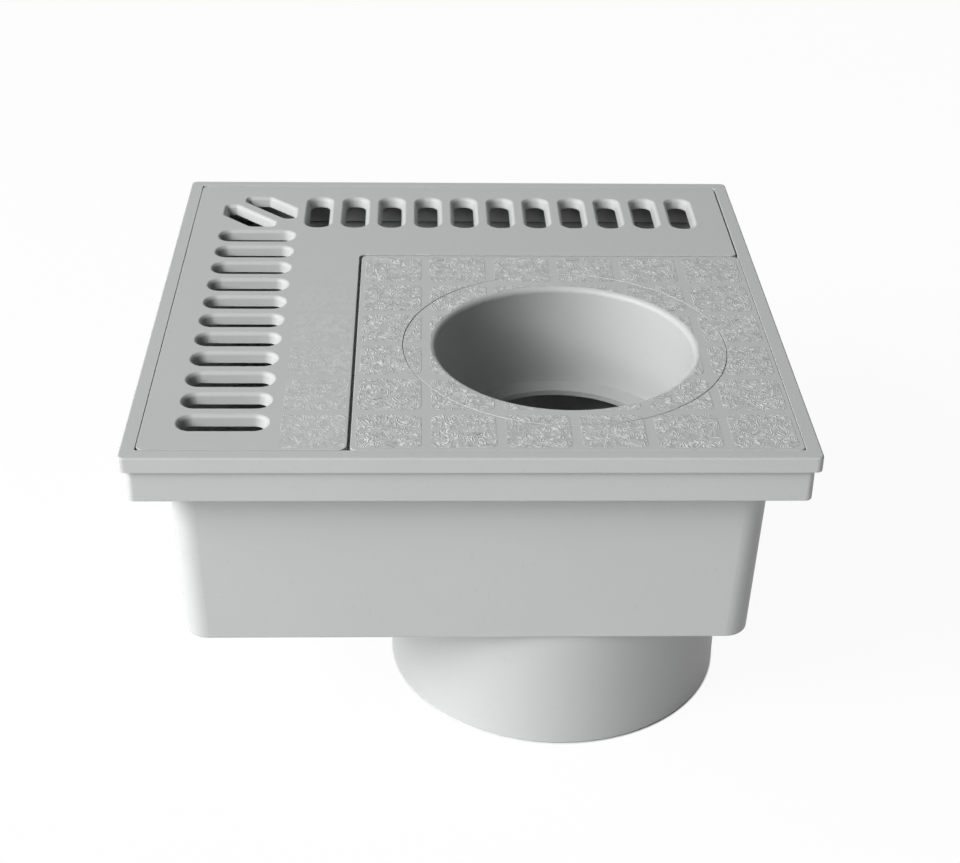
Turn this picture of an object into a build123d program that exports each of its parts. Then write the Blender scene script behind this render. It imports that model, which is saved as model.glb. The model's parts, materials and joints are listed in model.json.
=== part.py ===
from build123d import *
import os

# Gully trap: a square tub with a water seal, a pipe spigot under it, a frame at ground level,
# an L-shaped grate that lifts out for cleaning and a square cover that takes a downpipe.
# Sizes are in millimetres. +Z is up. The origin is under the middle of the square frame,
# level with the end of the spigot.

os.makedirs("parts", exist_ok=True)

# Frame round the lids
frame_side = 200.0
frame_floor = 1.3
frame_border = 4.5
frame_corner_radius = 2.0
frame_edge_radius = 0.6
frame_lower_edge_radius = 0.5
recess_edge_radius = 0.15
recess_corner_radius = 0.8
seat_width = 6.0
seat_thickness = 3.0
skirt_thickness = 2.6
skirt_gap = 0.8
frame_fit = 0.4

# Body
flange_overhang = 1.7
flange_height = 10.8
flange_wall = 2.6
flange_edge_radius = 0.6
ledge_thickness = 2.0
flange_step = 9.6
tub_depth = 57.0
tub_taper = 1.85
tub_wall = 2.6
tub_floor = 3.0
tub_corner_radius = 7.4
tub_edge_radius = 0.8

# Outlet, for a 110 mm drain socket
outlet_diameter = 110.0
outlet_wall = 3.2
outlet_inset = 0.45
spigot_length = 43.4
spigot_chamfer = 0.8
weir_gap = 7.6

# Lids; they lie pushed apart, each close to two sides of the frame
lid_thickness = 3.4
lid_sink = 0.1
lid_edge_gap = 0.1
arm_end_gap = 0.55
lid_joint_gap = 0.9
lid_corner_radius = 2.2
lid_edge_radius = 0.2
cover_land = 12.0

# Slots of the grate, as they open at its top; row and corner shares are of an arm's width,
# and the shares of the two slots across the corner are of the corner square they fill
slot_nominal_pitch = 13.1
slot_width = 9.8
slot_end_flat = 0.6
slot_chamfer = 0.9
slot_end_margin = 15.3
slot_length_share = 0.453
slot_margin_share = 0.163
corner_slot_share = 0.325
corner_slot_shift = 0.55
corner_slot_gap = 2.95
corner_slot_width_share = 0.503
corner_slot_web_share = 0.181
corner_slot_radius_share = 0.108

# Raised tiles on the cover
tile_count = 6
tile_joint = 2.86
tile_height = 0.05
tile_radius = 2.5

# Collar under the cover, for a 100 mm pipe once the reducer is lifted out
collar_inset = 4.0
collar_wall = 2.4
collar_depth = 20.0
collar_ledge_width = 3.0
collar_ledge_thickness = 2.4
collar_edge_chamfer = 0.1
cover_rib_count = 4
cover_rib_thickness = 2.0
cover_rib_depth = 8.0
cover_rib_end_gap = 6.0

# Reducer to an 80 mm pipe
socket_step = 10.5
socket_wall = 2.2
socket_depth = 35.3
socket_mouth_radius = 1.8
socket_stop_width = 7.0
socket_stop_thickness = 1.8
reducer_gap = 0.2
reducer_rib_count = 8
reducer_rib_thickness = 1.8

# Partition that dips in the water
partition_thickness = 2.4
partition_fit = 0.4
underflow_gap = 14.0
rail_width = 14.0
rail_thickness = 2.5
foot_length = 10.0
guide_rib_width = 2.0
guide_rib_depth = 4.0

# Heights of the main faces
floor_z = spigot_length + tub_floor
flange_bottom_z = spigot_length + tub_depth
ledge_z = flange_bottom_z + ledge_thickness
flange_top_z = flange_bottom_z + flange_height
seat_z = flange_top_z + frame_floor
lid_top_z = seat_z + lid_thickness
frame_top_z = lid_top_z + lid_sink
seat_bottom_z = seat_z - seat_thickness
skirt_bottom_z = ledge_z + skirt_gap
collar_ledge_z = frame_top_z - collar_depth
collar_bottom_z = collar_ledge_z - collar_ledge_thickness
weir_z = collar_bottom_z - weir_gap
socket_stop_z = frame_top_z - socket_depth
socket_bottom_z = socket_stop_z - socket_stop_thickness
underflow_z = floor_z + underflow_gap

# Sides of the nested squares
recess_side = frame_side - 2 * frame_border
seat_bore_side = recess_side - 2 * seat_width
flange_side = frame_side - 2 * flange_overhang
flange_bore_side = flange_side - 2 * flange_wall
skirt_side = flange_bore_side - 2 * frame_fit
skirt_bore_side = skirt_side - 2 * skirt_thickness
tub_top_side = flange_side - 2 * flange_step
tub_bottom_side = tub_top_side - 2 * tub_taper
lid_reach = recess_side / 2 - lid_edge_gap
arm_reach = recess_side / 2 - arm_end_gap
grate_side = lid_reach + arm_reach

# Radii about the outlet's axis
outlet_radius = outlet_diameter / 2
collar_bore_radius = outlet_radius - collar_inset
collar_radius = collar_bore_radius + collar_wall
collar_throat_radius = collar_bore_radius - collar_ledge_width
reducer_radius = collar_bore_radius - reducer_gap
socket_radius = collar_bore_radius - socket_step
socket_outer_radius = socket_radius + socket_wall
socket_mouth = socket_radius + socket_mouth_radius
socket_throat_radius = socket_radius - socket_stop_width

# Places: the cover fills the front right corner, and its inlet stands over the outlet
outlet_offset = tub_bottom_side / 2 - tub_edge_radius - outlet_inset - outlet_radius
cover_side = lid_reach - outlet_offset + collar_radius + cover_land
cover_centre = lid_reach - cover_side / 2
arm_edge = cover_side - lid_reach + lid_joint_gap
arm_width = lid_reach - arm_edge
grate_shift = (lid_reach - arm_reach) / 2
partition_line = arm_edge - lid_joint_gap / 2
slot_row_end = lid_reach - arm_width * slot_margin_share
slot_row_start = slot_row_end - arm_width * slot_length_share
first_slot = slot_end_margin - arm_reach
corner_slot_start = slot_row_start + corner_slot_shift
last_slot = corner_slot_start - corner_slot_gap - slot_width / 2
corner_size = arm_width * corner_slot_share
corner_slot_width = corner_size * corner_slot_width_share
corner_slot_web = corner_size * corner_slot_web_share
corner_slot_radius = corner_size * corner_slot_radius_share
slot_gaps = round((last_slot - first_slot) / slot_nominal_pitch)
slot_pitch = (last_slot - first_slot) / slot_gaps
outlet_axis = Axis((outlet_offset, -outlet_offset, 0), (0, 0, 1))
outlet_section = Plane(origin=(outlet_offset, -outlet_offset, 0), x_dir=(1, 0, 0), z_dir=(0, -1, 0))
diagonal = Plane(origin=(0, 0, 0), z_dir=(1, 1, 0))


def square(side, radius, mode=Mode.ADD):
    """Draws a square with rounded corners."""
    RectangleRounded(side, side, radius, mode=mode)


def square_ring(outer_side, outer_radius, inner_side, inner_radius):
    """Draws the section of a square frame."""
    square(outer_side, outer_radius)
    square(inner_side, inner_radius, mode=Mode.SUBTRACT)


def tub_bore_side(z):
    """Inner side of the tapered tub at a height."""
    growth = (tub_top_side - tub_bottom_side) / tub_depth
    return tub_bottom_side + growth * (z - spigot_length) - 2 * tub_wall


def tub_bore(z):
    """Draws the tub's hollow at a height, notched by the ribs that guide the partition."""
    side = tub_bore_side(z)
    guide = partition_thickness / 2 + partition_fit + guide_rib_width / 2
    rib_middle = (side - guide_rib_depth) / 2
    square(side, tub_corner_radius - tub_wall)
    for line in (partition_line - guide, partition_line + guide):
        with Locations((-line, -rib_middle)):
            Rectangle(guide_rib_width, guide_rib_depth, mode=Mode.SUBTRACT)
        with Locations((rib_middle, line)):
            Rectangle(guide_rib_depth, guide_rib_width, mode=Mode.SUBTRACT)


def outlet_disc(radius, mode=Mode.ADD):
    """Draws a circle about the outlet's axis."""
    with Locations((outlet_offset, -outlet_offset)):
        Circle(radius, mode=mode)


def cover_tiles():
    """Draws the grid of tiles."""
    tile_pitch = cover_side / tile_count
    with Locations((cover_centre, -cover_centre)):
        with GridLocations(tile_pitch, tile_pitch, tile_count, tile_count):
            square(tile_pitch - tile_joint, tile_radius)


def radial_ribs(count, start_angle, inner_radius, outer_radius, thickness):
    """Draws ribs that radiate from the outlet's axis."""
    with Locations((outlet_offset, -outlet_offset)):
        with PolarLocations((inner_radius + outer_radius) / 2, count, start_angle=start_angle):
            Rectangle(outer_radius - inner_radius, thickness)


# Body: tub, flange, spigot and weir moulded in one
with BuildPart() as gully_body:
    with BuildSketch(Plane.XY.offset(spigot_length)):
        square(tub_bottom_side, tub_corner_radius)
    with BuildSketch(Plane.XY.offset(flange_bottom_z)):
        square(tub_top_side, tub_corner_radius)
    loft()
    fillet(gully_body.edges().group_by(Axis.Z)[0], radius=tub_edge_radius)
    with BuildSketch(Plane.XY.offset(flange_bottom_z)):
        square(flange_side, frame_corner_radius)
    extrude(amount=flange_height)
    underside = gully_body.faces(Select.LAST).filter_by(Axis.Z).sort_by(Axis.Z)[0]
    fillet(underside.outer_wire().edges(), radius=flange_edge_radius)
    with BuildSketch(Plane.XY.offset(floor_z)):
        tub_bore(floor_z)
    with BuildSketch(Plane.XY.offset(ledge_z)):
        tub_bore(ledge_z)
    loft(mode=Mode.SUBTRACT)
    with BuildSketch(Plane.XY.offset(ledge_z)):
        square(flange_bore_side, recess_corner_radius)
    extrude(amount=flange_top_z - ledge_z, mode=Mode.SUBTRACT)
    with BuildSketch():
        outlet_disc(outlet_radius)
    extrude(amount=weir_z)
    chamfer(gully_body.edges().group_by(Axis.Z)[0], length=spigot_chamfer)
    with BuildSketch():
        outlet_disc(outlet_radius - outlet_wall)
    extrude(amount=weir_z, mode=Mode.SUBTRACT)
gully_body.part.label = "gully_body"

# Frame: a band that rests on the flange, a seat for the lids and a skirt inside the flange
with BuildPart() as top_frame:
    with BuildSketch(Plane.XY.offset(skirt_bottom_z)):
        square_ring(skirt_side, recess_corner_radius, skirt_bore_side, recess_corner_radius)
    extrude(amount=seat_bottom_z - skirt_bottom_z)
    with BuildSketch(Plane.XY.offset(seat_bottom_z)):
        square_ring(skirt_side, recess_corner_radius, seat_bore_side, recess_corner_radius)
    extrude(amount=seat_z - seat_bottom_z)
    with BuildSketch(Plane.XY.offset(flange_top_z)):
        square_ring(frame_side, frame_corner_radius, seat_bore_side, recess_corner_radius)
    extrude(amount=frame_top_z - flange_top_z)
    underside = top_frame.faces(Select.LAST).filter_by(Axis.Z).sort_by(Axis.Z)[0]
    fillet(underside.outer_wire().edges(), radius=frame_lower_edge_radius)
    with BuildSketch(Plane.XY.offset(seat_z)):
        square(recess_side, recess_corner_radius)
    extrude(amount=frame_top_z - seat_z, mode=Mode.SUBTRACT)
    fillet(top_frame.faces().sort_by(Axis.Z)[-1].outer_wire().edges(), radius=frame_edge_radius)
    fillet(top_frame.faces().sort_by(Axis.Z)[-1].inner_wires().edges(), radius=recess_edge_radius)
top_frame.part.label = "top_frame"

# Grate: an L-shaped plate with a slot row in each arm and two slots across the corner
with BuildPart() as corner_grate:
    with BuildSketch(Plane.XY.offset(seat_z)) as grate_outline:
        with Locations((-grate_shift, grate_shift)):
            Rectangle(grate_side, grate_side)
        with Locations((grate_side / 2, -grate_side / 2)):
            Rectangle(grate_side + 2 * arm_edge, grate_side + 2 * arm_edge, mode=Mode.SUBTRACT)
        fillet(grate_outline.vertices(), radius=lid_corner_radius)
    extrude(amount=lid_thickness)
    fillet(corner_grate.faces().sort_by(Axis.Z)[-1].edges(), radius=lid_edge_radius)
    with BuildSketch(Plane.XY.offset(seat_z)):
        hole_length = slot_row_end - slot_row_start - 2 * slot_chamfer
        hole_width = slot_width - 2 * slot_chamfer
        with Locations((-(slot_row_start + slot_row_end) / 2, (first_slot + last_slot) / 2)):
            with GridLocations(0, slot_pitch, 1, slot_gaps + 1):
                RectangleRounded(hole_length, hole_width, (hole_width - slot_end_flat) / 2)
        mirror(about=diagonal)
    extrude(amount=lid_thickness, mode=Mode.SUBTRACT)
    with BuildSketch(Plane.XY.offset(seat_z)) as corner_slots:
        with Locations((corner_size / 2 - slot_row_end, corner_size / 2 + corner_slot_start)):
            Rectangle(corner_size - 2 * slot_chamfer, corner_size - 2 * slot_chamfer)
        with PolarLocations((corner_slot_web + corner_slot_width) / 2, 1, start_angle=-135):
            Rectangle(corner_slot_width - 2 * slot_chamfer, 2 * grate_side, mode=Mode.INTERSECT)
        fillet(corner_slots.vertices(), radius=corner_slot_radius - slot_chamfer)
        mirror(about=diagonal)
    extrude(amount=lid_thickness, mode=Mode.SUBTRACT)
    chamfer(corner_grate.faces().sort_by(Axis.Z)[-1].inner_wires().edges(), length=slot_chamfer)
corner_grate.part.label = "corner_grate"

# Cover: a tiled square plate with a collar under its round hole
with BuildPart() as downpipe_cover:
    with BuildSketch(Plane.XY.offset(seat_z)):
        with Locations((cover_centre, -cover_centre)):
            square(cover_side, lid_corner_radius)
    extrude(amount=lid_thickness)
    fillet(downpipe_cover.faces().sort_by(Axis.Z)[-1].edges(), radius=lid_edge_radius)
    with BuildSketch(Plane.XY.offset(collar_bottom_z)):
        outlet_disc(collar_radius)
    extrude(amount=seat_z - collar_bottom_z)
    with BuildSketch(Plane.XY.offset(collar_bottom_z)):
        outlet_disc(collar_throat_radius)
    extrude(amount=collar_ledge_thickness, mode=Mode.SUBTRACT)
    with BuildSketch(Plane.XY.offset(collar_ledge_z)):
        outlet_disc(collar_bore_radius)
    extrude(amount=collar_depth, mode=Mode.SUBTRACT)
    hole_rim = downpipe_cover.faces().sort_by(Axis.Z)[-1].inner_wires().edges()
    chamfer(hole_rim, length=collar_edge_chamfer)
    with BuildSketch(Plane.XY.offset(lid_top_z)):
        cover_tiles()
        outlet_disc(collar_bore_radius + collar_edge_chamfer, mode=Mode.SUBTRACT)
    extrude(amount=tile_height)
    with BuildSketch(Plane.XY.offset(seat_z - cover_rib_depth)):
        bay_side = seat_bore_side / 2 + partition_line - rail_width / 2
        rib_reach = (bay_side - 2 * cover_rib_end_gap) / 2**0.5
        radial_ribs(cover_rib_count, 45, collar_radius - collar_wall / 2, rib_reach, cover_rib_thickness)
    extrude(amount=cover_rib_depth)
downpipe_cover.part.label = "downpipe_cover"

# Reducer: a flanged socket that stands on the collar's ledge by its ribs
with BuildPart() as pipe_reducer:
    with BuildSketch(outlet_section):
        with BuildLine():
            Polyline(
                (socket_throat_radius, socket_stop_z),
                (socket_radius, socket_stop_z),
                (socket_radius, lid_top_z),
                (reducer_radius, lid_top_z),
                (reducer_radius, seat_z),
                (socket_outer_radius, seat_z),
                (socket_outer_radius, socket_bottom_z),
                (socket_throat_radius, socket_bottom_z),
                close=True,
            )
        make_face()
    revolve(axis=outlet_axis)
    top_edges = pipe_reducer.faces().sort_by(Axis.Z)[-1].edges().sort_by(SortBy.RADIUS)
    fillet(top_edges[0], radius=socket_mouth_radius)
    chamfer(top_edges[-1], length=collar_edge_chamfer)
    with BuildSketch(Plane.XY.offset(lid_top_z)):
        cover_tiles()
        outlet_disc(reducer_radius - collar_edge_chamfer, mode=Mode.INTERSECT)
        outlet_disc(socket_mouth, mode=Mode.SUBTRACT)
    extrude(amount=tile_height)
    with BuildSketch(Plane.XY.offset(collar_ledge_z)):
        rib_root = socket_outer_radius - socket_wall / 2
        radial_ribs(reducer_rib_count, 0, rib_root, reducer_radius, reducer_rib_thickness)
    extrude(amount=seat_z - collar_ledge_z)
pipe_reducer.part.label = "pipe_reducer"

# Partition: two walls at a right angle under a rail that carries the inner edges of both lids
with BuildPart() as trap_partition:
    with BuildSketch(Plane.YZ.offset(-partition_line - partition_thickness / 2)):
        wall_end_low = partition_fit - tub_bore_side(underflow_z) / 2
        wall_end_high = partition_fit - tub_bore_side(ledge_z) / 2
        ear_end = partition_fit - skirt_bore_side / 2
        rail_end = partition_fit - seat_bore_side / 2
        corner = partition_line + partition_thickness / 2
        with BuildLine():
            Polyline(
                (wall_end_low, underflow_z),
                (wall_end_high, ledge_z),
                (ear_end, ledge_z),
                (ear_end, seat_bottom_z - partition_fit),
                (rail_end, seat_bottom_z - partition_fit),
                (rail_end, seat_z),
                (corner, seat_z),
                (corner, floor_z),
                (corner - foot_length, floor_z),
                (corner - foot_length, underflow_z),
                close=True,
            )
        make_face()
    extrude(amount=partition_thickness)
    with BuildSketch(Plane.XY.offset(seat_z - rail_thickness)):
        rail_length = partition_line + rail_width / 2 - rail_end
        with Locations((-partition_line, partition_line + rail_width / 2 - rail_length / 2)):
            Rectangle(rail_width, rail_length)
    extrude(amount=rail_thickness)
    mirror(about=diagonal)
trap_partition.part.label = "trap_partition"

for piece in (gully_body, top_frame, corner_grate, downpipe_cover, pipe_reducer, trap_partition):
    export_step(piece.part, "parts/" + piece.part.label + ".step")
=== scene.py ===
"""Looks and stage of a plastic gully trap: grey moulded plastic, grained tiles, light from the left."""

import json
import math

import bmesh
import bpy
from bpy.props import FloatProperty, FloatVectorProperty, IntProperty, PointerProperty
from mathutils import Matrix, Vector


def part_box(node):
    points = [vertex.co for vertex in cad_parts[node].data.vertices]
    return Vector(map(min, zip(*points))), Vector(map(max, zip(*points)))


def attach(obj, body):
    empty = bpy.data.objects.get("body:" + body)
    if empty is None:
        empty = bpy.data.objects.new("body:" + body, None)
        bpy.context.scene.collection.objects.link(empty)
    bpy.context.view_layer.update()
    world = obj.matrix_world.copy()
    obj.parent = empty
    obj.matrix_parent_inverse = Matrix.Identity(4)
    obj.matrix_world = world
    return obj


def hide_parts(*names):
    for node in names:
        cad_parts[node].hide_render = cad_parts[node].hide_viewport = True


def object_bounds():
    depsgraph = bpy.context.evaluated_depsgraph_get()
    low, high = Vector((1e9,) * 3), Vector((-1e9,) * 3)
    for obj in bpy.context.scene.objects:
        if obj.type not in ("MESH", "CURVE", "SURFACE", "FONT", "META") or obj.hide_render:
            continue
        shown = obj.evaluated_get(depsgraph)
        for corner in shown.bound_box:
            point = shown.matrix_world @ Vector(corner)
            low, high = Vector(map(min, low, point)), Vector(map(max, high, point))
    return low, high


bl_info = {
    "name": "Gully trap",
    "version": (1, 0, 0),
    "blender": (4, 5, 0),
    "location": "3D Viewport > Sidebar > Gully trap",
    "description": "Dresses the gully trap in moulded plastic and sets it on a pale floor",
    "category": "Object",
}

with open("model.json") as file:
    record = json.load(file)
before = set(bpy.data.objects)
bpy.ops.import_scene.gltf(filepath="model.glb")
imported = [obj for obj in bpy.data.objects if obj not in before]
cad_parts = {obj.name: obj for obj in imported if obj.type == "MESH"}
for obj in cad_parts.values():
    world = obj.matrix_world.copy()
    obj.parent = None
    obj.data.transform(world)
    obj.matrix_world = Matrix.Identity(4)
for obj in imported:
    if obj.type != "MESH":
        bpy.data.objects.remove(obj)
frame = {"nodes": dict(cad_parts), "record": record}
cad_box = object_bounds()
SLOT_COLOURS = {entry["slot"]: entry["base_color"][:3] for entry in frame["record"]["materials"]}
MM = 0.001
TILES_ACROSS = 6
WHITE = (1.0, 1.0, 1.0)

# Noise runs from 0 to 1 round this value.
NOISE_MIDDLE = 0.5

# Sockets of a Mix node that is set to colours.
FIRST_COLOUR = 6
SECOND_COLOUR = 7
MIXED_COLOUR = 2

# How the grate's mesh is read: what counts as one point, flat, upright, a chamfered rim or a crease.
MERGE_DISTANCE = 0.001 * MM
FLAT_ANGLE = math.radians(1.0)
UPRIGHT_NORMAL = 0.5
LEAST_RIM_ANGLE = math.radians(30.0)
GREATEST_RIM_ANGLE = math.radians(60.0)
CREASE_ANGLE = math.radians(35.0)

# Profile of a bevel that follows an arc.
ROUND_PROFILE = 0.5

FLOOR_SEGMENTS = 96

# The camera's sensor in millimetres, and the range it sees in metres.
SENSOR_WIDTH = 36.0
NEAREST_SEEN = 0.01
FARTHEST_SEEN = 50.0


class Channel:
    """A number or vector that varies over a surface, for use in sums."""

    def __init__(self, finish, socket):
        self.finish = finish
        self.socket = socket

    def _math(self, operation, *terms):
        return self.finish.node("ShaderNodeMath", {"operation": operation}, dict(enumerate(terms)))

    def __add__(self, other):
        return self._math("ADD", self, other)

    def __sub__(self, other):
        return self._math("SUBTRACT", self, other)

    def __rsub__(self, other):
        return self._math("SUBTRACT", other, self)

    def __mul__(self, other):
        return self._math("MULTIPLY", self, other)

    def __mod__(self, other):
        return self._math("FLOORED_MODULO", self, other)

    def __abs__(self):
        return self._math("ABSOLUTE", self)

    __radd__ = __add__
    __rmul__ = __mul__

    def root(self):
        return self._math("SQRT", self)

    def wave(self):
        """A sine wave that runs between 0 and 1."""
        return self._math("SINE", self) * 0.5 + 0.5

    def step(self, edge, softness):
        """Rises from 0 to 1 round an edge."""
        settings = {"interpolation_type": "SMOOTHSTEP"}
        inputs = {"Value": self, "From Min": edge - softness, "From Max": edge + softness}
        return self.finish.node("ShaderNodeMapRange", settings, inputs)


class Finish:
    """A material or a sky, and the nodes that make it up."""

    def __init__(self, owner, output_kind="ShaderNodeOutputMaterial"):
        self.owner = owner
        owner.use_nodes = True
        self.tree = owner.node_tree
        self.tree.nodes.clear()
        self.output = self.tree.nodes.new(output_kind)

    def node(self, kind, settings=None, inputs=None, output=0):
        """Adds a node, sets it up, fills its sockets and returns one of its outputs."""
        made = self.tree.nodes.new(kind)
        for key, value in (settings or {}).items():
            setattr(made, key, value)
        for key, value in (inputs or {}).items():
            self._feed(made.inputs[key], value)
        return Channel(self, made.outputs[output])

    def _feed(self, socket, value):
        if isinstance(value, Channel):
            self.tree.links.new(value.socket, socket)
        elif socket.type == "RGBA":
            socket.default_value = (*value[:3], 1.0)
        else:
            socket.default_value = value

    def blend(self, factor, first, second):
        """Mixes two colours."""
        settings = {"data_type": "RGBA"}
        inputs = {"Factor": factor, FIRST_COLOUR: first, SECOND_COLOUR: second}
        return self.node("ShaderNodeMix", settings, inputs, output=MIXED_COLOUR)

    def position(self):
        """The surface's own coordinates in millimetres, with their three components."""
        place = self.node("ShaderNodeTexCoord", output="Object")
        scale = {"operation": "SCALE"}
        scaled = self.node("ShaderNodeVectorMath", scale, {0: place, "Scale": 1 / MM})
        parts = [self.node("ShaderNodeSeparateXYZ", {}, {0: scaled}, output=axis) for axis in range(3)]
        return scaled, parts

    def noise(self, place, size, detail=0.0, distortion=0.0):
        """Cloudy noise whose features are about as large as size, in millimetres."""
        inputs = {"Vector": place, "Scale": 1 / size, "Detail": detail, "Distortion": distortion}
        return self.node("ShaderNodeTexNoise", {"noise_dimensions": "3D"}, inputs)

    def bump(self, height, distance, below=None):
        """Turns a height between 0 and 1 into a tilt of the surface."""
        inputs = {"Height": height, "Distance": distance, "Strength": 1.0}
        if below is not None:
            inputs["Normal"] = below
        return self.node("ShaderNodeBump", {}, inputs)

    def white_where_seen(self, shader, glow_kind, share):
        """Shows the camera, reflections and clear materials plain white for a share of the shader."""
        rays = ("Is Camera Ray", "Is Glossy Ray", "Is Transmission Ray")
        camera, mirror, clear = (self.node("ShaderNodeLightPath", output=ray) for ray in rays)
        white = self.node(glow_kind, {}, {"Color": WHITE, "Strength": 1.0})
        factor = (camera + mirror + clear) * share
        return self.node("ShaderNodeMixShader", {}, {0: factor, 1: shader, 2: white})

    def close(self, shader):
        """Joins a shader to the output."""
        self.tree.links.new(shader.socket, self.output.inputs["Surface"])
        return self.owner

    def close_as_plastic(self, colour, roughness, normal, gloss):
        """Closes the material with a plastic shader."""
        inputs = {
            "Base Color": colour,
            "Roughness": roughness,
            "Normal": normal,
            "Specular IOR Level": gloss,
        }
        return self.close(self.node("ShaderNodeBsdfPrincipled", {}, inputs))


def shade(colour, factor):
    """A lighter or darker tone of a colour."""
    return [min(1.0, part * factor) for part in colour]


def moulded_surface(finish, place, colour, plastic):
    """Colour, roughness and tilt that all the smooth plastic shares."""
    cloud = finish.noise(place, plastic.mottle_size / MM, detail=2.0)
    speck = finish.noise(place, plastic.speck_size / MM, detail=1.0)
    tone = finish.blend(cloud, shade(colour, 1 - plastic.mottle), shade(colour, 1 + plastic.mottle))
    specks = speck.step(plastic.speck_level, plastic.speck_softness) * plastic.speck
    tone = finish.blend(specks, tone, shade(colour, plastic.speck_shade))
    roughness = (cloud - NOISE_MIDDLE) * plastic.roughness_spread + plastic.roughness
    ripple = finish.noise(place, plastic.ripple_size / MM, detail=1.0)
    grain = finish.noise(place, plastic.grain_size / MM, detail=1.0)
    tilt = finish.bump(ripple, plastic.ripple_height)
    tilt = finish.bump(grain, plastic.grain_height, below=tilt)
    return tone, roughness, tilt


def moulded_plastic(name, colour, plastic):
    """Smooth satin plastic."""
    finish = Finish(bpy.data.materials.new(name))
    place, _ = finish.position()
    return finish.close_as_plastic(*moulded_surface(finish, place, colour, plastic), plastic.gloss)


def worm_relief(finish, place, tiles):
    """Short winding ridges, between 0 and 1."""
    swirl = finish.noise(place, tiles.swirl_size / MM, detail=1.0, distortion=tiles.winding)
    lines = (swirl * tiles.lines).wave()
    breaks = finish.noise(place, tiles.ridge_length / MM, detail=1.0)
    return lines * breaks.step(tiles.break_level, tiles.break_softness)


def grained_plastic(name, colour, plastic, tiles, mask_of, strength=1.0):
    """Plastic with winding ridges where a mask allows them, with painted highlight on the ridges and
    painted shade in the grooves.
    """
    finish = Finish(bpy.data.materials.new(name))
    place, parts = finish.position()
    tone, roughness, tilt = moulded_surface(finish, place, colour, plastic)
    ragged = finish.noise(place, tiles.ragged_size / MM, detail=2.0)
    mask = mask_of(tiles, ragged, *parts) * strength
    worms = worm_relief(finish, place, tiles)
    cloud = finish.noise(place, tiles.cloud_size / MM, detail=1.0)
    # Painted highlight: the ridges are lightened towards a paler grey, together with the random pale
    # clouds.
    pale = worms * tiles.ridge_painted_highlight + cloud.step(NOISE_MIDDLE, tiles.cloud_softness) * tiles.clouding
    tone = finish.blend(mask * pale, tone, shade(colour, tiles.highlight_and_cloud_tone))
    # Painted shade: the grooves between the ridges are darkened.
    tone = finish.blend(mask * (1 - worms) * tiles.groove_painted_shade, tone, shade(colour, tiles.groove_painted_tone))
    roughness = roughness + mask * tiles.added_roughness
    tilt = finish.bump(mask * worms, tiles.relief_height, below=tilt)
    return finish.close_as_plastic(tone, roughness, tilt, plastic.gloss)


def tile_pitch():
    """Distance in millimetres from one tile to the next."""
    low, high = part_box("downpipe_cover")
    return (high.x - low.x) / TILES_ACROSS / MM


def patch(along, start, tiles, ragged):
    """Is 1 inside the grained patches of a row of tiles that starts at a place, and ends raggedly."""
    pitch = tile_pitch()
    half = tiles.patch_share * pitch / 2
    from_middle = abs((along - start) % pitch - pitch / 2)
    bays = (ragged - NOISE_MIDDLE) * (tiles.ragged_reach / MM)
    return 1 - (from_middle + bays).step(half, tiles.patch_softness / MM)


def on_top(node, tiles, z):
    """Is 1 on the highest faces of a node and 0 below them."""
    depth = tiles.top_depth / MM
    return z.step(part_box(node)[1].z / MM - depth, depth / 2)


def cover_patches(tiles, ragged, x, y, z):
    """Is 1 where the grain lies on the tops of the cover's and the reducer's tiles."""
    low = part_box("downpipe_cover")[0]
    rows = patch(x, low.x / MM, tiles, ragged) * patch(y, low.y / MM, tiles, ragged)
    return rows * on_top("downpipe_cover", tiles, z)


def faint_patches(tiles, ragged, x, y, z):
    """Is 1 on a column of grain beside the cover, and fades towards the back."""
    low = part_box("downpipe_cover")[0]
    edge = low.x / MM - tile_pitch()
    rows = patch(x, edge, tiles, ragged) * patch(y, low.y / MM, tiles, ragged)
    column = x.step(edge, tiles.column_softness / MM)
    fade = 1 - y.step(tiles.faint_end / MM, tiles.faint_fade / MM)
    return rows * column * fade * on_top("corner_grate", tiles, z)


def dress(node, material):
    """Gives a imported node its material."""
    for slot in frame["nodes"][node].material_slots:
        slot.material = material


def narrow_slots(shape, rims):
    """Slopes the walls of the slots, which are shorter than the plate's own sides."""
    heights = [vert.co.z for vert in shape.verts]
    lowest, highest = min(heights), max(heights)
    tallest_wall = highest - lowest - rims.wall_shortfall
    shifts = {}
    for vert in shape.verts:
        rises = [abs(edge.verts[0].co.z - edge.verts[1].co.z) for edge in vert.link_edges]
        if vert.co.z < lowest + rims.wall_tolerance and max(rises) < tallest_wall:
            walls = [face.normal for face in vert.link_faces if abs(face.normal.z) < UPRIGHT_NORMAL]
            inward = sum(walls, Vector())
            shifts[vert] = Vector((inward.x, inward.y, 0.0)).normalized() * rims.draft
    for vert, shift in shifts.items():
        vert.co += shift


def rounded_grate(rims):
    """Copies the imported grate, slopes the walls of its slots and rounds their rims."""
    shape = bmesh.new()
    shape.from_mesh(frame["nodes"]["corner_grate"].data)
    bmesh.ops.remove_doubles(shape, verts=shape.verts, dist=MERGE_DISTANCE)
    bmesh.ops.dissolve_limit(shape, angle_limit=FLAT_ANGLE, verts=shape.verts, edges=shape.edges)
    shape.normal_update()
    narrow_slots(shape, rims)
    chamfered = [
        edge for edge in shape.edges if LEAST_RIM_ANGLE < edge.calc_face_angle(0.0) < GREATEST_RIM_ANGLE
    ]
    bmesh.ops.bevel(
        shape,
        geom=chamfered,
        offset=rims.rounding,
        segments=rims.segments,
        profile=ROUND_PROFILE,
        affect="EDGES",
    )
    mesh = bpy.data.meshes.new("grate_moulding")
    shape.to_mesh(mesh)
    shape.free()
    mesh.shade_smooth()
    mesh.set_sharp_from_angle(angle=CREASE_ANGLE)
    piece = bpy.data.objects.new("grate_moulding", mesh)
    bpy.context.scene.collection.objects.link(piece)
    piece.modifiers.new("even_shading", "WEIGHTED_NORMAL").keep_sharp = True
    return piece


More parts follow.
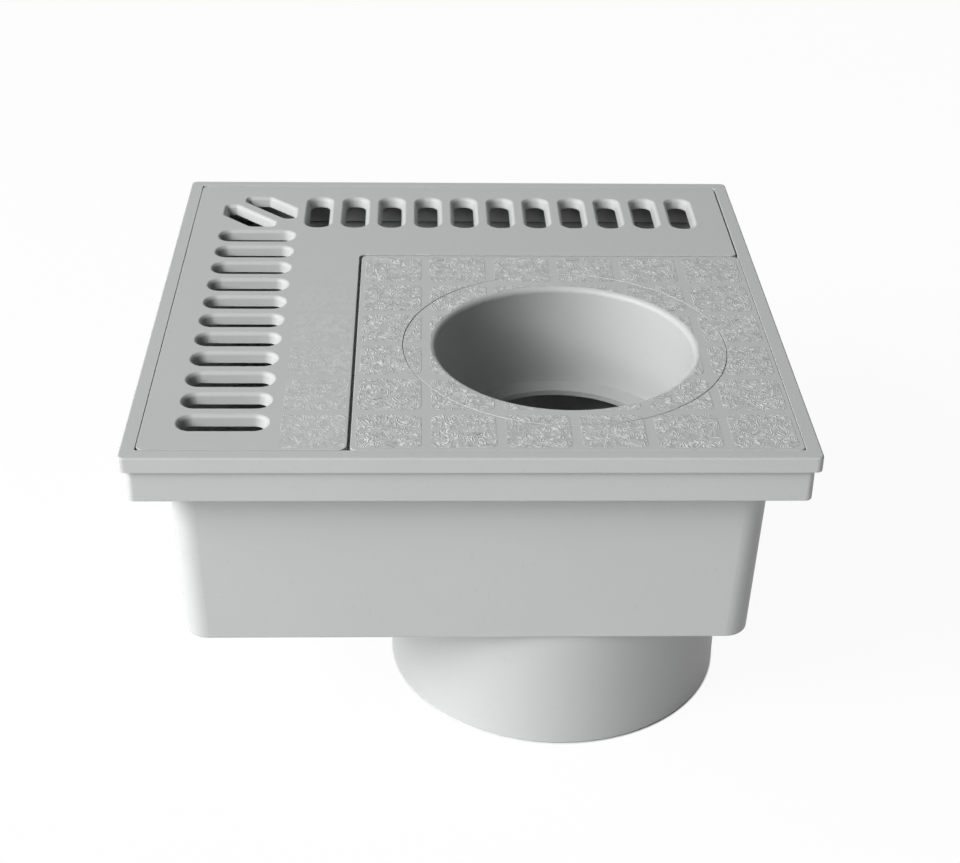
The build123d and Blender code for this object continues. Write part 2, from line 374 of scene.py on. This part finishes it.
class GullyPlastic(bpy.types.PropertyGroup):
    """The plastic that all the pieces are moulded in."""

    roughness: FloatProperty(
        name="Roughness", description="How matt the plastic is",
        default=0.46, min=0.0, max=1.0, subtype="FACTOR",
    )
    roughness_spread: FloatProperty(
        name="Roughness spread", description="How far the roughness varies",
        default=0.12, min=0.0, max=1.0, subtype="FACTOR",
    )
    gloss: FloatProperty(
        name="Gloss", description="How much light the plastic mirrors",
        default=0.35, min=0.0, max=1.0, subtype="FACTOR",
    )
    mottle: FloatProperty(
        name="Mottle", description="How far the grey varies",
        default=0.025, min=0.0, max=0.2, subtype="FACTOR",
    )
    mottle_size: FloatProperty(
        name="Mottle size", description="Size of the clouds of grey",
        default=45 * MM, unit="LENGTH",
    )
    speck: FloatProperty(
        name="Specks", description="How plain the fine specks are",
        default=0.25, min=0.0, max=1.0, subtype="FACTOR",
    )
    speck_shade: FloatProperty(
        name="Speck shade", description="Brightness of a speck beside the plastic round it",
        default=0.8, min=0.0, max=1.0, subtype="FACTOR",
    )
    speck_size: FloatProperty(
        name="Speck size", description="Size of the fine specks",
        default=1.4 * MM, unit="LENGTH",
    )
    speck_level: FloatProperty(
        name="Speck level", description="How rare the fine specks are",
        default=0.72, min=0.0, max=1.0, subtype="FACTOR",
    )
    speck_softness: FloatProperty(
        name="Speck softness", description="How soft the edge of a speck is",
        default=0.06, min=0.0, max=1.0, subtype="FACTOR",
    )
    grain_size: FloatProperty(
        name="Grain size", description="Size of the moulded grain",
        default=0.5 * MM, unit="LENGTH",
    )
    grain_height: FloatProperty(
        name="Grain height", description="Depth of the moulded grain",
        default=0.006 * MM, unit="LENGTH",
    )
    ripple_size: FloatProperty(
        name="Ripple size", description="Length of the slow waves",
        default=6 * MM, unit="LENGTH",
    )
    ripple_height: FloatProperty(
        name="Ripple height", description="Depth of the slow waves",
        default=0.012 * MM, unit="LENGTH",
    )


class GullyColours(bpy.types.PropertyGroup):
    """The greys of the pieces."""

    body: FloatVectorProperty(
        name="Body", description="Grey of the tub",
        default=SLOT_COLOURS["gully_body"], subtype="COLOR",
    )
    frame: FloatVectorProperty(
        name="Frame", description="Grey of the frame",
        default=SLOT_COLOURS["top_frame"], subtype="COLOR",
    )
    lids: FloatVectorProperty(
        name="Lids", description="Grey of the grate, the cover and the reducer",
        default=SLOT_COLOURS["corner_grate"], subtype="COLOR",
    )
    partition: FloatVectorProperty(
        name="Partition", description="Grey of the partition inside",
        default=SLOT_COLOURS["trap_partition"], subtype="COLOR",
    )


class GullyTiles(bpy.types.PropertyGroup):
    """The winding grain on the tiles, with painted highlight on its ridges and painted shade in its
    grooves.
    """

    swirl_size: FloatProperty(
        name="Swirl size", description="Size of the turns of the grain",
        default=4.2 * MM, unit="LENGTH",
    )
    winding: FloatProperty(
        name="Winding", description="How far the ridges wander off their way",
        default=0.6, min=0.0,
    )
    lines: FloatProperty(
        name="Lines", description="How close the ridges lie",
        default=90.0, min=1.0,
    )
    ridge_length: FloatProperty(
        name="Ridge length", description="How far a ridge runs before it breaks",
        default=1.6 * MM, unit="LENGTH",
    )
    break_level: FloatProperty(
        name="Breaks", description="How much of the ridges is broken off",
        default=0.47, min=0.0, max=1.0, subtype="FACTOR",
    )
    break_softness: FloatProperty(
        name="Break softness", description="How gently a ridge ends",
        default=0.12, min=0.0, max=1.0, subtype="FACTOR",
    )
    relief_height: FloatProperty(
        name="Relief height", description="Height of the ridges",
        default=0.13 * MM, unit="LENGTH",
    )
    # Strength of the painted highlight on the ridges of the grain.
    ridge_painted_highlight: FloatProperty(
        name="Ridges", description="How plain the pale ridges are",
        default=0.65, min=0.0, max=1.0, subtype="FACTOR",
    )
    # Paler grey for the painted highlight on the ridges and for the random clouds.
    highlight_and_cloud_tone: FloatProperty(
        name="Ridge shade", description="Brightness of ridges and clouds beside the plain plastic",
        default=1.6, min=1.0,
    )
    # Strength of the painted shade in the grooves of the grain.
    groove_painted_shade: FloatProperty(
        name="Grooves", description="How plain the dark grooves are",
        default=0.4, min=0.0, max=1.0, subtype="FACTOR",
    )
    # Darker grey for the painted shade in the grooves.
    groove_painted_tone: FloatProperty(
        name="Groove shade", description="Brightness of grooves beside the plain plastic",
        default=0.7, min=0.0, max=1.0, subtype="FACTOR",
    )
    cloud_size: FloatProperty(
        name="Cloud size", description="Size of the pale clouds on a tile",
        default=3.0 * MM, unit="LENGTH",
    )
    cloud_softness: FloatProperty(
        name="Cloud softness", description="How soft the edge of a cloud is",
        default=0.15, min=0.0, max=1.0, subtype="FACTOR",
    )
    clouding: FloatProperty(
        name="Clouds", description="How plain the clouds on a tile are",
        default=0.35, min=0.0, max=1.0, subtype="FACTOR",
    )
    added_roughness: FloatProperty(
        name="Added roughness", description="How much rougher the grain is than the plain plastic",
        default=0.1, min=0.0, max=1.0, subtype="FACTOR",
    )
    patch_share: FloatProperty(
        name="Patch share", description="How much of a tile is grained",
        default=0.87, min=0.0, max=1.0, subtype="FACTOR",
    )
    patch_softness: FloatProperty(
        name="Patch softness", description="How soft the edge of a grained patch is",
        default=0.3 * MM, unit="LENGTH",
    )
    ragged_size: FloatProperty(
        name="Ragged size", description="Size of the bays in a patch's edge",
        default=3.0 * MM, unit="LENGTH",
    )
    ragged_reach: FloatProperty(
        name="Ragged reach", description="Depth of the bays in a patch's edge",
        default=1.2 * MM, unit="LENGTH",
    )
    top_depth: FloatProperty(
        name="Top depth", description="How far under a top face the grain ends",
        default=0.02 * MM, unit="LENGTH",
    )
    faint: FloatProperty(
        name="Faint tiles", description="Strength of the grain on the grate",
        default=0.6, min=0.0, max=1.0, subtype="FACTOR",
    )
    column_softness: FloatProperty(
        name="Column softness", description="How soft the left edge of the faint tiles is",
        default=0.1 * MM, unit="LENGTH",
    )
    faint_end: FloatProperty(
        name="Faint end", description="Where the grain on the grate has faded by half",
        default=-20 * MM, unit="LENGTH",
    )
    faint_fade: FloatProperty(
        name="Faint fade", description="How far the fading reaches on each side of that place",
        default=70 * MM, unit="LENGTH",
    )


class GullyRims(bpy.types.PropertyGroup):
    """The rounded rims and sloped walls of the slots."""

    rounding: FloatProperty(
        name="Rounding", description="How far the rim's corners are cut back",
        default=0.38 * MM, unit="LENGTH",
    )
    segments: IntProperty(
        name="Segments", description="Facets of each rounding",
        default=3, min=1,
    )
    draft: FloatProperty(
        name="Draft", description="How much a slot narrows on each side",
        default=0.5 * MM, unit="LENGTH",
    )
    wall_tolerance: FloatProperty(
        name="Wall tolerance", description="How far a wall's foot may lie off the underside",
        default=0.01 * MM, unit="LENGTH",
    )
    wall_shortfall: FloatProperty(
        name="Wall shortfall", description="How much a slot's wall at least falls short of the plate",
        default=0.5 * MM, unit="LENGTH",
    )


class GullyStage(bpy.types.PropertyGroup):
    """The floor, the lamps, the sky and the camera."""

    floor: FloatVectorProperty(
        name="Floor", description="Colour of the floor",
        default=(0.9, 0.9, 0.9), subtype="COLOR",
    )
    floor_width: FloatProperty(
        name="Floor width", description="Width of the floor",
        default=8.0, unit="LENGTH",
    )
    floor_gap: FloatProperty(
        name="Floor gap", description="How far the floor lies under the spigot's end",
        default=0.02 * MM, unit="LENGTH",
    )
    floor_mottle: FloatProperty(
        name="Floor mottle", description="How far the floor's colour varies",
        default=0.01, min=0.0, max=0.2, subtype="FACTOR",
    )
    floor_mottle_size: FloatProperty(
        name="Floor mottle size", description="Size of the clouds on the floor",
        default=300 * MM, unit="LENGTH",
    )
    white: FloatProperty(
        name="White", description="How far the floor is seen as white",
        default=0.95, min=0.0, max=1.0, subtype="FACTOR",
    )
    white_softness: FloatProperty(
        name="White softness", description="How soft the edge of the white is round the spigot",
        default=0.5 * MM, unit="LENGTH",
    )
    sky: FloatProperty(
        name="Sky", description="Strength of the light from all round",
        default=0.01, min=0.0,
    )
    lamp_width: FloatProperty(
        name="Lamp width", description="Width of each high lamp",
        default=1.6, unit="LENGTH",
    )
    key_power: FloatProperty(
        name="Key power", description="Power of the lamp at the front left",
        default=84.0, unit="POWER",
    )
    key_place: FloatVectorProperty(
        name="Key place", description="Where the lamp at the front left stands",
        default=(-1.9, -1.5, 1.6), subtype="XYZ", unit="LENGTH",
    )
    side_power: FloatProperty(
        name="Side power", description="Power of the lamp on the left",
        default=40.0, unit="POWER",
    )
    side_place: FloatVectorProperty(
        name="Side place", description="Where the lamp on the left stands",
        default=(-2.4, -0.4, 1.6), subtype="XYZ", unit="LENGTH",
    )
    low_width: FloatProperty(
        name="Low width", description="Width of the low lamp on the left",
        default=0.8, unit="LENGTH",
    )
    low_power: FloatProperty(
        name="Low power", description="Power of the low lamp on the left",
        default=6.0, unit="POWER",
    )
    low_place: FloatVectorProperty(
        name="Low place", description="Where the low lamp on the left stands",
        default=(-1.4, -0.1, 0.25), subtype="XYZ", unit="LENGTH",
    )
    eye: FloatVectorProperty(
        name="Eye", description="Where the camera stands",
        default=(-0.01488, -0.53957, 0.38279), subtype="XYZ", unit="LENGTH",
    )
    pitch: FloatProperty(
        name="Pitch", description="How far the camera looks down",
        default=math.radians(30.392), subtype="ANGLE",
    )
    yaw: FloatProperty(
        name="Yaw", description="How far the camera is turned right",
        default=math.radians(2.179), subtype="ANGLE",
    )
    roll: FloatProperty(
        name="Roll", description="How far the camera leans",
        default=math.radians(1.11), subtype="ANGLE",
    )
    lens: FloatProperty(
        name="Lens", description="Focal length of the camera",
        default=68.508, min=1.0, unit="CAMERA",
    )


class GULLY_OT_dress_body(bpy.types.Operator):
    """Dress the tub, its flange and its spigot"""

    bl_idname = "gully.dress_body"
    bl_label = "Body"

    def execute(self, context):
        scene = context.scene
        plastic = moulded_plastic("body_plastic", scene.gully_colours.body, scene.gully_plastic)
        dress("gully_body", plastic)
        return {"FINISHED"}


class GULLY_OT_dress_frame(bpy.types.Operator):
    """Dress the square frame round the lids"""

    bl_idname = "gully.dress_frame"
    bl_label = "Frame"

    def execute(self, context):
        scene = context.scene
        plastic = moulded_plastic("frame_plastic", scene.gully_colours.frame, scene.gully_plastic)
        dress("top_frame", plastic)
        return {"FINISHED"}


class GULLY_OT_build_grate(bpy.types.Operator):
    """Round the slots of the L-shaped grate and dress it"""

    bl_idname = "gully.build_grate"
    bl_label = "Grate"

    def execute(self, context):
        scene = context.scene
        tiles = scene.gully_tiles
        lids = scene.gully_colours.lids
        plastic = grained_plastic(
            "grate_plastic", lids, scene.gully_plastic, tiles, faint_patches, tiles.faint
        )
        dress("corner_grate", plastic)
        grate = rounded_grate(scene.gully_rims)
        grate.data.materials.append(plastic)
        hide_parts("corner_grate")
        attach(grate, "root")
        return {"FINISHED"}


class GULLY_OT_dress_cover(bpy.types.Operator):
    """Dress the tiled cover and the reducer in its hole"""

    bl_idname = "gully.dress_cover"
    bl_label = "Cover and reducer"

    def execute(self, context):
        scene = context.scene
        lids = scene.gully_colours.lids
        plastic = grained_plastic(
            "tile_plastic", lids, scene.gully_plastic, scene.gully_tiles, cover_patches
        )
        dress("downpipe_cover", plastic)
        dress("pipe_reducer", plastic)
        return {"FINISHED"}


class GULLY_OT_dress_partition(bpy.types.Operator):
    """Dress the partition inside the tub"""

    bl_idname = "gully.dress_partition"
    bl_label = "Partition"

    def execute(self, context):
        scene = context.scene
        grey = scene.gully_colours.partition
        dress("trap_partition", moulded_plastic("partition_plastic", grey, scene.gully_plastic))
        return {"FINISHED"}


def floor_finish(stage):
    """Pale floor, seen as nearly white except under the spigot, that keeps the object's shadow."""
    finish = Finish(bpy.data.materials.new("pale_floor"))
    place, (x, y, _) = finish.position()
    spigot = next(mount for mount in frame["record"]["mounts"] if mount["name"] == "outlet_spigot")
    across, along, _ = (part / MM for part in spigot["pos_m"])
    from_axis = ((x - across) * (x - across) + (y - along) * (y - along)).root()
    outside = from_axis.step(spigot["dims"]["r_mm"], stage.white_softness / MM)
    cloud = finish.noise(place, stage.floor_mottle_size / MM, detail=2.0)
    darker = shade(stage.floor, 1 - stage.floor_mottle)
    lighter = shade(stage.floor, 1 + stage.floor_mottle)
    matt = finish.node("ShaderNodeBsdfDiffuse", {}, {"Color": finish.blend(cloud, darker, lighter)})
    return finish.close(finish.white_where_seen(matt, "ShaderNodeEmission", outside * stage.white))


def add_floor(stage):
    """Lays a round floor just under the spigot's end."""
    mesh = bpy.data.meshes.new("floor")
    shape = bmesh.new()
    radius = stage.floor_width / 2
    bmesh.ops.create_circle(shape, cap_ends=True, segments=FLOOR_SEGMENTS, radius=radius)
    shape.to_mesh(mesh)
    shape.free()
    floor = bpy.data.objects.new("floor", mesh)
    bpy.context.scene.collection.objects.link(floor)
    floor.location.z = -stage.floor_gap
    mesh.materials.append(floor_finish(stage))


def add_lamp(name, place, width, power):
    """Adds a square lamp that faces the middle of the object."""
    lamp = bpy.data.lights.new(name, "AREA")
    lamp.shape = "SQUARE"
    lamp.size = width
    lamp.energy = power
    holder = bpy.data.objects.new(name, lamp)
    middle = (cad_box[0] + cad_box[1]) / 2
    holder.location = place
    holder.rotation_euler = (middle - Vector(place)).to_track_quat("-Z", "Y").to_euler()
    bpy.context.scene.collection.objects.link(holder)


def add_sky(stage):
    """Even light from all round, which the camera sees as white."""
    sky = Finish(bpy.data.worlds.new("sky"), "ShaderNodeOutputWorld")
    soft = sky.node("ShaderNodeBackground", {}, {"Color": WHITE, "Strength": stage.sky})
    bpy.context.scene.world = sky.close(sky.white_where_seen(soft, "ShaderNodeBackground", 1.0))


def add_camera(stage):
    """Stands the camera where the photograph was taken from."""
    lens = bpy.data.cameras.new("camera")
    lens.sensor_width = SENSOR_WIDTH
    lens.lens = stage.lens
    lens.clip_start = NEAREST_SEEN
    lens.clip_end = FARTHEST_SEEN
    camera = bpy.data.objects.new("camera", lens)
    ahead = Vector((
        math.sin(stage.yaw) * math.cos(stage.pitch),
        math.cos(stage.yaw) * math.cos(stage.pitch),
        -math.sin(stage.pitch),
    ))
    level = Vector((math.cos(stage.yaw), -math.sin(stage.yaw), 0.0))
    upright = level.cross(ahead)
    right = level * math.cos(stage.roll) + upright * math.sin(stage.roll)
    up = upright * math.cos(stage.roll) - level * math.sin(stage.roll)
    turn = Matrix((right, up, -ahead)).transposed()
    camera.matrix_world = Matrix.Translation(stage.eye) @ turn.to_4x4()
    bpy.context.scene.collection.objects.link(camera)
    bpy.context.scene.camera = camera


class GULLY_OT_set_stage(bpy.types.Operator):
    """Lay the floor, hang the lamps and stand the camera"""

    bl_idname = "gully.set_stage"
    bl_label = "Stage"

    def execute(self, context):
        stage = context.scene.gully_stage
        add_floor(stage)
        add_sky(stage)
        add_lamp("key_lamp", stage.key_place, stage.lamp_width, stage.key_power)
        add_lamp("side_lamp", stage.side_place, stage.lamp_width, stage.side_power)
        add_lamp("low_lamp", stage.low_place, stage.low_width, stage.low_power)
        add_camera(stage)
        context.scene.view_settings.view_transform = "Standard"
        return {"FINISHED"}


class GULLY_PT_panel(bpy.types.Panel):
    """Lists the sizes, colours and steps of the gully trap"""

    bl_idname = "GULLY_PT_panel"
    bl_label = "Gully trap"
    bl_space_type = "VIEW_3D"
    bl_region_type = "UI"
    bl_category = "Gully trap"

    def draw(self, context):
        for name in GROUPS:
            box = self.layout.box()
            group = getattr(context.scene, name)
            for key in group.__annotations__:
                box.prop(group, key)
        for step in STEPS:
            self.layout.operator(step.bl_idname)


GROUPS = {
    "gully_plastic": GullyPlastic,
    "gully_colours": GullyColours,
    "gully_tiles": GullyTiles,
    "gully_rims": GullyRims,
    "gully_stage": GullyStage,
}
STEPS = (
    GULLY_OT_dress_body,
    GULLY_OT_dress_frame,
    GULLY_OT_build_grate,
    GULLY_OT_dress_cover,
    GULLY_OT_dress_partition,
    GULLY_OT_set_stage,
)


def register():
    for name, group in GROUPS.items():
        bpy.utils.register_class(group)
        setattr(bpy.types.Scene, name, PointerProperty(type=group))
    for step in STEPS:
        bpy.utils.register_class(step)
    bpy.utils.register_class(GULLY_PT_panel)


def unregister():
    bpy.utils.unregister_class(GULLY_PT_panel)
    for step in reversed(STEPS):
        bpy.utils.unregister_class(step)
    for name, group in reversed(list(GROUPS.items())):
        delattr(bpy.types.Scene, name)
        bpy.utils.unregister_class(group)


def main():
    """Builds the whole scene, in order."""
    register()
    for step in STEPS:
        family, action = step.bl_idname.split(".")
        getattr(getattr(bpy.ops, family), action)()


if __name__ == "__main__":
    main()
